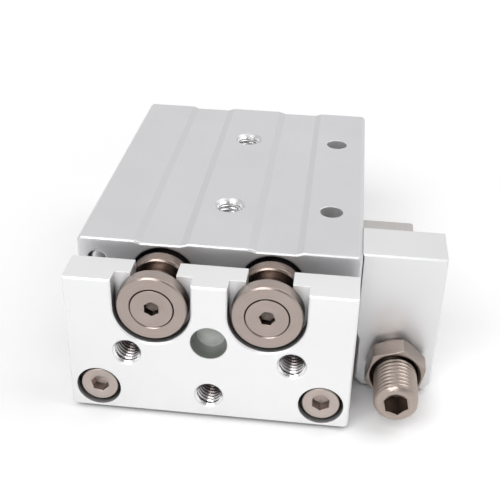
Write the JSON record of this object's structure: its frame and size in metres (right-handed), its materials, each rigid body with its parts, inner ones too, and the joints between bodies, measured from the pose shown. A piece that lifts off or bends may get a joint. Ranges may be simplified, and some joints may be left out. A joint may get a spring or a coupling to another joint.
{
  "type": "slide table cylinder",
  "caption": "Compact pneumatic slide: twin-bore body, end plate on floating rod ends, table on crossed rollers, side stroke adjuster.",
  "frame": {"origin": "centre of the table's mounting face, with the table drawn in", "axes": "+Z from the table's face up through the cylinder body to its mounting face; the table moves out along -Y; +X towards the stroke adjuster"},
  "size_m": [0.0662, 0.0768, 0.03],
  "materials": {
    "anodised_body": "clear satin anodised extrusion",
    "anodised_plate": "fine blasted and clear anodised",
    "anodised_block": "fine blasted and clear anodised",
    "table_aluminium": "machined and clear anodised",
    "nickel_steel": "turned, warm nickel plate",
    "nickel_screws": "warm nickel plate",
    "hardened_steel": "ground",
    "chromed_rod": "hard chromed and polished",
    "black_cover": "black",
    "black_spring_steel": "phosphated black",
    "seal_rubber": "black nitrile",
    "soft_urethane": "translucent grey-green urethane",
    "piston_aluminium": "turned",
    "magnet": "sintered"
  },
  "bodies": {
    "cylinder": {"cylinder_body": "anodised_body", "passage_ball": "nickel_steel", "rear_port_plugs": "nickel_screws", "rod_cover_left": "black_cover", "rod_cover_right": "black_cover", "rod_cover_ring_left": "black_spring_steel", "rod_cover_ring_right": "black_spring_steel", "rod_cover_oring_left": "seal_rubber", "rod_cover_oring_right": "seal_rubber", "rod_seal_left": "seal_rubber", "rod_seal_right": "seal_rubber", "rod_bumper_left": "soft_urethane", "rod_bumper_right": "soft_urethane", "head_cap_left": "black_cover", "head_cap_right": "black_cover", "head_cap_oring_left": "seal_rubber", "head_cap_oring_right": "seal_rubber", "head_cap_ring_left": "black_spring_steel", "head_cap_ring_right": "black_spring_steel", "guide_block": "hardened_steel", "guide_block_screws": "nickel_screws", "cage_stop_front": "nickel_steel", "cage_stop_rear": "nickel_steel", "cage_stop_screws": "nickel_screws", "adjuster_block": "anodised_block", "adjuster_block_screws": "nickel_screws"},
    "slide": {"end_plate": "anodised_plate", "end_plate_screws": "nickel_screws", "end_bumper": "soft_urethane", "table": "table_aluminium", "guide_rail_left": "hardened_steel", "guide_rail_right": "hardened_steel", "rail_screws": "nickel_screws", "piston_rod_left": "chromed_rod", "piston_rod_right": "chromed_rod", "piston_left": "piston_aluminium", "piston_right": "piston_aluminium", "piston_magnet_left": "magnet", "piston_magnet_right": "magnet", "piston_seal_left": "seal_rubber", "piston_seal_right": "seal_rubber", "floating_bushing_left": "nickel_steel", "floating_bushing_right": "nickel_steel", "rod_end_screw_left": "nickel_screws", "rod_end_screw_right": "nickel_screws", "stroke_stopper": "nickel_steel", "stopper_screws": "nickel_screws"},
    "cage_left": {"roller_cage_left": "nickel_steel", "rollers_left": "hardened_steel"},
    "cage_right": {"roller_cage_right": "nickel_steel", "rollers_right": "hardened_steel"},
    "adjuster": {"adjuster_bolt": "nickel_steel", "adjuster_tip": "soft_urethane"},
    "nut": {"lock_nut": "nickel_steel"}
  },
  "joints": [
    {"name": "table_slide", "type": "slide", "parent": "cylinder", "child": "slide", "axis": [0, -1, 0], "range_m": [0, 0.02]},
    {"name": "cage_left_slide", "type": "slide", "parent": "cylinder", "child": "cage_left", "axis": [0, -1, 0], "range_m": [0, 0.01]},
    {"name": "cage_right_slide", "type": "slide", "parent": "cylinder", "child": "cage_right", "axis": [0, -1, 0], "range_m": [0, 0.01]},
    {"name": "adjuster_travel", "type": "slide", "parent": "cylinder", "child": "adjuster", "axis": [0, -1, 0], "range_m": [0, 0.005]},
    {"name": "lock_nut_turn", "type": "hinge", "parent": "cylinder", "child": "nut", "pos_m": [0.0333, -0.03, 0.0073], "axis": [0, 1, 0], "continuous": true}
  ],
  "couplings": [
    {"joint": "cage_left_slide", "follows": "table_slide", "ratio": 0.5},
    {"joint": "cage_right_slide", "follows": "table_slide", "ratio": 0.5}
  ]
}
